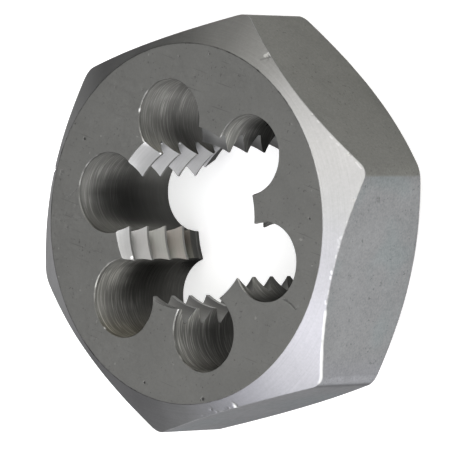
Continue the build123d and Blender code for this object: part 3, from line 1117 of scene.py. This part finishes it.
# turned chamfers
m = material("steel_chamfer", (0.5, 0.5, 0.5), 0.35)
m.node_tree.nodes["Principled BSDF"].inputs["Specular Tint"].default_value = TINT
n = Nodes(m)
x, y, z = n.xyz()
radius = n.math("SQRT", n.math("ADD", n.math("MULTIPLY", x, x), n.math("MULTIPLY", y, y)))
ring = n.t.nodes.new("ShaderNodeCombineXYZ")
n.link(n.math("MULTIPLY", radius, 9000.0), ring.inputs[0])
n.link(n.math("MULTIPLY", x, 120.0), ring.inputs[1])
n.link(n.math("MULTIPLY", y, 120.0), ring.inputs[2])
turning_and_painted_light = n.noise(ring.outputs[0], 1.0, 2.0, 0.6)
plain = n.scaled(1, 1, 1)
g1 = n.noise(plain, 4200, 2.0, 0.55)
g2 = n.noise(plain, 420, 3.0, 0.55)
f = n.math("ADD", n.line(turning_and_painted_light, 0.2, 0.8, 0.93, 1.07), n.line(g1, 0.2, 0.8, -0.06, 0.06))
f = n.math("ADD", f, n.line(g2, 0.3, 0.7, -0.05, 0.05))
# painted light and shade, lighter or darker round the front chamfer
f = n.math("MULTIPLY", f, n.attribute("chamfer_painted_light"))
# painted shade along the crease at the top of the chamfer, from the rim attribute
f = n.math("MULTIPLY", f, n.line(n.attribute("rim"), 0.0, 1.0, 1.0, 0.45))
# painted shade along a thin groove in the dent near the top of the chamfer
f = n.math("MULTIPLY", f, n.segment((0.004400, 0.017330, 0.012430), (0.00519, 0.017799, 0.011902), 0.00005, 0.00016, 0.76))
col = n.times((CHAMFER_TONE, CHAMFER_TONE, CHAMFER_TONE * 0.99), f)
# painted cool light: the lower part of the chamfer is tinted a little blue
cool = n.step(y, 0.0068, 0.0025)
col = n.multiply(col, n.mix(cool, (1.0, 1.0, 1.0), (1.0, 0.993, 1.036)))
# the dent near the top of the chamfer, painted bright: partly worn metal, partly painted highlight
chip_a = n.segment((0.004560, 0.017760, 0.012120), (0.005000, 0.017900, 0.011800), 0.00011, 0.00024, 0.0)
chip_b = n.segment((0.004780, 0.018000, 0.011880), (0.004900, 0.017950, 0.011880), 0.00013, 0.00026, 0.0)
chip = n.math("SUBTRACT", 1.0, n.math("MULTIPLY", chip_a, chip_b))
wear_and_glint_at = n.math("MAXIMUM", n.attribute("wear_and_glint"), n.math("MULTIPLY", chip, 0.42))
# small bright chips along the edge towards the sides, partly worn metal and partly painted highlight: two ends (mm),
# reach (mm), brightness
for a, b, reach, bright in (
        ((17.945, 5.495, 11.694), (17.945, 5.380, 11.715), 0.12, 0.15),
        ((17.913, 4.028, 11.975), (17.824, 3.868, 12.051), 0.14, 0.15),
        ((17.707, 3.643, 12.159), (17.887, 3.291, 12.080), 0.14, 0.10),
        ((17.913, 2.203, 12.189), (17.922, 2.013, 12.196), 0.13, 0.22),
        ((17.971, 1.258, 12.209), (17.986, 1.108, 12.206), 0.11, 0.12),
        ((17.852, 0.647, 12.306), (17.917, 0.473, 12.267), 0.15, 0.40),
        ((17.881, 0.154, 12.296), (17.896, -0.015, 12.286), 0.15, 0.32),
        ((17.938, -1.160, 12.224), (17.962, -1.501, 12.198), 0.11, 0.15),
        ((17.869, -2.223, 12.204), (17.910, -2.424, 12.157), 0.16, 0.30),
        ((17.998, -2.536, 12.020), (17.998, -2.672, 11.946), 0.12, 0.15),
        ((12.301, 13.563, 12.075), (12.475, 13.476, 12.045), 0.12, 0.15),
        ((13.944, 12.509, 11.780), (14.140, 12.391, 11.738), 0.12, 0.15),
        ((14.694, 12.065, 11.579), (14.898, 11.949, 11.517), 0.12, 0.16),
        ((15.922, 11.409, 11.184), (16.025, 11.361, 11.143), 0.15, 0.42),
        ((16.834, 10.839, 10.886), (17.411, 10.426, 10.700), 0.10, 0.16)):
    a, b = [v * 0.001 for v in a], [v * 0.001 for v in b]
    spot = n.math("SUBTRACT", 1.0, n.segment(a, b, reach * 0.0004, reach * 0.001, 0.0))
    wear_and_glint_at = n.math("MAXIMUM", wear_and_glint_at, n.math("MULTIPLY", spot, bright))
col = n.mix(wear_and_glint_at, col, (0.65, 0.65, 0.64))
rough = n.line(g2, 0.2, 0.8, 0.31, 0.39)
n.finish(col, rough, n.bump(n.math("ADD", n.math("MULTIPLY", turning_and_painted_light, 1.5), g1), 0.25, 0.000010))
mats_made.append(m)

# drilled holes: fine rings round the wall, and the front rims painted bright, partly wear and partly painted highlight
m = material("steel_hole", (0.3, 0.3, 0.3), 0.55, 0.9)
m.node_tree.nodes["Principled BSDF"].inputs["Specular Tint"].default_value = (0.3, 0.3, 0.3, 1)
n = Nodes(m)
x, y, z = n.xyz()
r1 = n.noise(n.scaled(230, 230, 6500), 1.0, 2.0, 0.55)
r2 = n.noise(n.scaled(150, 150, 2400, (3, 1, 2)), 1.0, 2.0, 0.6)
hair = n.noise(n.scaled(260, 260, 4200, (7, 5, 1)), 1.0, 1.0, 0.5)
hair_b = n.noise(n.scaled(340, 340, 7600, (2, 9, 4)), 1.0, 1.0, 0.5)
hair_c = n.noise(n.scaled(300, 300, 5200, (4, 3, 8)), 1.0, 1.0, 0.5)
blot = n.noise(n.scaled(1, 1, 1), 420, 3.0, 0.55)
f = n.math("ADD", n.line(r1, 0.25, 0.75, -0.11, 0.11), n.line(r2, 0.25, 0.75, -0.13, 0.13))
f = n.math("ADD", f, n.step(hair, 0.66, 0.74, 0.0, 1.0))
f = n.math("ADD", f, n.step(hair_b, 0.52, 0.70, 0.0, 0.75))
f = n.math("ADD", f, n.step(hair_c, 0.56, 0.70, 0.0, 0.60))
f = n.math("ADD", n.math("MULTIPLY", f, n.attribute("hole_rings")), 0.88)
f = n.math("MULTIPLY", f, n.line(blot, 0.3, 0.7, 0.92, 1.08))
# painted light near the front of each hole and painted shade deep inside
f = n.math("MULTIPLY", f, n.attribute("hole_painted_light"))
col = n.times((HOLE_TONE, HOLE_TONE, HOLE_TONE * 0.97), f)
col = n.multiply(col, n.mix(n.attribute("hole_stain"), (1.0, 1.0, 1.0), (1.04, 0.985, 0.86)))
# the front rims painted bright: partly wear, partly painted highlight
edge = n.step(z, 0.01286, 0.01293)
edge = n.math("MULTIPLY", edge, n.attribute("wear_and_glint"))
# painted highlight along the back broken edges of the holes
back_edge_glint = n.math("MULTIPLY", n.step(n.math("MULTIPLY", z, -1.0), -0.00012, -0.00006), 0.12)
col = n.mix(n.math("MAXIMUM", edge, back_edge_glint), col, (0.75, 0.75, 0.74))
rough = n.line(r2, 0.2, 0.8, 0.48, 0.60)
n.finish(col, rough, n.bump(n.math("ADD", r1, n.math("MULTIPLY", r2, 2.0)), 0.4, 0.00002))
mats_made.append(m)

# ground thread flanks
m = material("steel_flank", (0.4, 0.4, 0.4), 0.42, 0.85)
n = Nodes(m)
x, y, z = n.xyz()
cx = n.math("SUBTRACT", x, 0.00014)
cy = n.math("SUBTRACT", y, 0.00005)
radius = n.math("SQRT", n.math("ADD", n.math("MULTIPLY", cx, cx), n.math("MULTIPLY", cy, cy)))
ring = n.t.nodes.new("ShaderNodeCombineXYZ")
n.link(n.math("MULTIPLY", radius, 8000.0), ring.inputs[0])
n.link(n.math("MULTIPLY", x, 200.0), ring.inputs[1])
n.link(n.math("MULTIPLY", z, 400.0), ring.inputs[2])
ground = n.noise(ring.outputs[0], 1.0, 2.0, 0.6)
blot = n.noise(n.scaled(1, 1, 1), 500, 3.0, 0.55)
f = n.math("ADD", n.line(ground, 0.2, 0.8, 0.93, 1.07), n.line(blot, 0.3, 0.7, -0.06, 0.06))
# painted light towards the roots of the teeth
root = n.math("MULTIPLY", n.step(radius, 0.0080, 0.0095, 0.0, 1.2), n.attribute("root_painted_light"))
f = n.math("MULTIPLY", f, n.math("ADD", root, 1.0))
# painted light and shade, land by land and tooth by tooth
f = n.math("MULTIPLY", f, n.attribute("land_painted_light"))
col = n.times((FLANK_TONE, FLANK_TONE, FLANK_TONE * 0.99), f)
patchy = n.step(n.noise(n.scaled(1, 1, 1, (2, 5, 3)), 330, 2.0, 0.5), 0.42, 0.58)
oil = n.mix(patchy, (1.0, 1.0, 0.87), (1.08, 0.98, 0.87))
col = n.multiply(col, n.mix(n.attribute("land_stain"), (1.0, 1.0, 1.0), oil))
wear_and_glint_at = n.attribute("wear_and_glint")
# painted bright at the chipped tooth corners: worn metal and painted highlight
col = n.mix(wear_and_glint_at, col, (0.85, 0.85, 0.85))
rough = n.line(blot, 0.2, 0.8, 0.38, 0.46)
n.finish(col, rough, n.bump(ground, 0.08, 0.000006))
mats_made.append(m)

# crest flats, and the lead cone; the lead cone's darker grey is painted shade
for name, shade, low_angle in (("steel_crest", 0.16, 1.0), ("steel_lead", 0.082, 0.34)):
    m = material(name, (0.3, 0.3, 0.3), 0.4)
    m.node_tree.nodes["Principled BSDF"].inputs["Specular Tint"].default_value = (low_angle, low_angle, low_angle, 1)
    n = Nodes(m)
    g1 = n.noise(n.scaled(1, 1, 1), 2600, 2.0, 0.55)
    g2 = n.noise(n.scaled(1, 1, 1), 420, 2.0, 0.55)
    f = n.math("ADD", n.line(g1, 0.2, 0.8, 0.85, 1.15), n.line(g2, 0.3, 0.7, -0.12, 0.12))
    if name == "steel_crest":
        # painted shade: the crest and root flats darker towards the back
        f = n.math("MULTIPLY", f, n.step(n.xyz()[2], 0.0011, 0.0020, 0.45, 1.0))
    col = n.times((shade, shade, shade * 0.95), f)
    dull = 0.0 if name == "steel_crest" else 0.22
    n.finish(col, n.line(g2, 0.2, 0.8, 0.34 + dull, 0.46 + dull), n.bump(g1, 0.25, 0.00001))
    mats_made.append(m)

for m in mats_made:
    mesh.materials.append(m)

# ---------------------------------------------------------------------------
# Floor, light, camera
# ---------------------------------------------------------------------------
fm = bpy.data.meshes.new("floor")
fm.from_pydata([(-3, -3, -2e-5), (3, -3, -2e-5), (3, 3, -2e-5), (-3, 3, -2e-5)], [], [(0, 1, 2, 3)])
floor = bpy.data.objects.new("floor", fm)
bpy.context.scene.collection.objects.link(floor)
floor_mat = material("pale_floor", (0.93, 0.93, 0.93), 0.9, 0.0)
# a white table that glows softly, as if lit from below as well
floor_mat.node_tree.nodes["Principled BSDF"].inputs["Emission Color"].default_value = (1, 1, 1, 1)
floor_mat.node_tree.nodes["Principled BSDF"].inputs["Emission Strength"].default_value = 0.43
fm.materials.append(floor_mat)

scene = bpy.context.scene
world = bpy.data.worlds.new("studio")
scene.world = world
world.use_nodes = True
world.node_tree.nodes["Background"].inputs["Color"].default_value = (1, 1, 1, 1)
world.node_tree.nodes["Background"].inputs["Strength"].default_value = 0.0

TARGET = Vector((0, 0, 0.006))
DISTANCE = 1.5
LIGHTS = [  # azimuth, elevation, width and height as angles, brightness, tint
    (0, 10, 36, 20, 1.57, (0.99, 1.00, 0.99)),
    (36, 10, 36, 20, 1.39, (0.99, 1.00, 0.97)),
    (72, 10, 36, 20, 0.23, (1.00, 1.00, 1.00)),
    (144, 10, 36, 20, 0.15, (0.99, 1.00, 0.92)),
    (252, 10, 36, 20, 0.85, (0.98, 1.00, 0.96)),
    (288, 10, 36, 20, 1.28, (0.99, 1.00, 0.99)),
    (324, 10, 36, 20, 1.79, (0.99, 1.00, 0.99)),
    (18, 30, 36, 20, 1.62, (0.99, 1.00, 0.94)),
    (54, 30, 36, 20, 1.32, (0.99, 1.00, 0.92)),
    (90, 30, 36, 20, 1.36, (1.00, 0.99, 0.92)),
    (126, 30, 36, 20, 1.49, (1.00, 0.99, 0.94)),
    (270, 30, 36, 20, 2.52, (0.92, 0.93, 1.00)),
    (306, 30, 36, 20, 2.87, (0.95, 0.95, 1.00)),
    (342, 30, 36, 20, 1.71, (0.99, 1.00, 0.96)),
    (0, 50, 45, 20, 3.10, (0.99, 0.99, 1.00)),
    (45, 50, 45, 20, 4.26, (1.00, 0.98, 0.97)),
    (90, 50, 45, 20, 2.92, (1.00, 0.99, 0.98)),
    (180, 50, 45, 20, 0.23, (0.98, 0.98, 1.00)),
    (225, 50, 45, 20, 0.31, (1.00, 0.93, 0.92)),
    (270, 50, 45, 20, 2.14, (1.00, 1.00, 0.99)),
    (315, 50, 45, 20, 4.22, (0.94, 0.94, 1.00)),
    (10, 70, 72, 20, 2.44, (0.95, 0.97, 1.00)),
    (82, 70, 72, 20, 1.09, (1.00, 0.96, 0.97)),
    (226, 70, 72, 20, 0.21, (1.00, 1.00, 1.00)),
    (298, 70, 72, 20, 1.31, (1.00, 0.97, 0.92)),
    (0, 90, 24, 20, 1.11, (0.92, 1.00, 0.92)),
]


def softbox(name, azimuth, elevation, wide, high, brightness, colour=(1, 1, 1)):
    a, e = math.radians(azimuth), math.radians(elevation)
    d = Vector((math.cos(e) * math.cos(a), math.cos(e) * math.sin(a), math.sin(e)))
    data = bpy.data.lights.new(name, "AREA")
    data.shape = "RECTANGLE"
    spread = math.cos(e) if elevation < 89 else 1.0
    data.size = 2 * DISTANCE * math.tan(math.radians(wide) / 2 * max(spread, 0.2))
    data.size_y = 2 * DISTANCE * math.tan(math.radians(high) / 2)
    data.energy = brightness * math.pi * data.size * data.size_y
    data.color = colour
    o = bpy.data.objects.new(name, data)
    scene.collection.objects.link(o)
    o.location = TARGET + d * DISTANCE
    o.rotation_euler = d.to_track_quat("Z", "Y").to_euler()
    return o


for k, (az, el, wide, high, bright, tint) in enumerate(LIGHTS):
    softbox("softbox_%d" % k, az, el, wide, high, bright, tint)

RIGHT = Vector((0.72817085, 0.20415945, -0.65428291))
UP = Vector((-0.27627939, 0.96104732, -0.00759871))
BACK = Vector((0.62724549, 0.18629805, 0.7562117))
cam_data = bpy.data.cameras.new("camera")
cam_data.sensor_width = 36.0
cam_data.lens = 433.2476
cam_data.clip_start = 0.02
cam_data.clip_end = 20.0
cam = bpy.data.objects.new("camera", cam_data)
scene.collection.objects.link(cam)
m = Matrix((
    (RIGHT.x, UP.x, BACK.x, 0.32336999),
    (RIGHT.y, UP.y, BACK.y, 0.09599897),
    (RIGHT.z, UP.z, BACK.z, 0.39710535),
    (0, 0, 0, 1),
))
cam.matrix_world = m
scene.camera = cam
scene.view_settings.view_transform = "Standard"
scene.view_settings.look = "None"
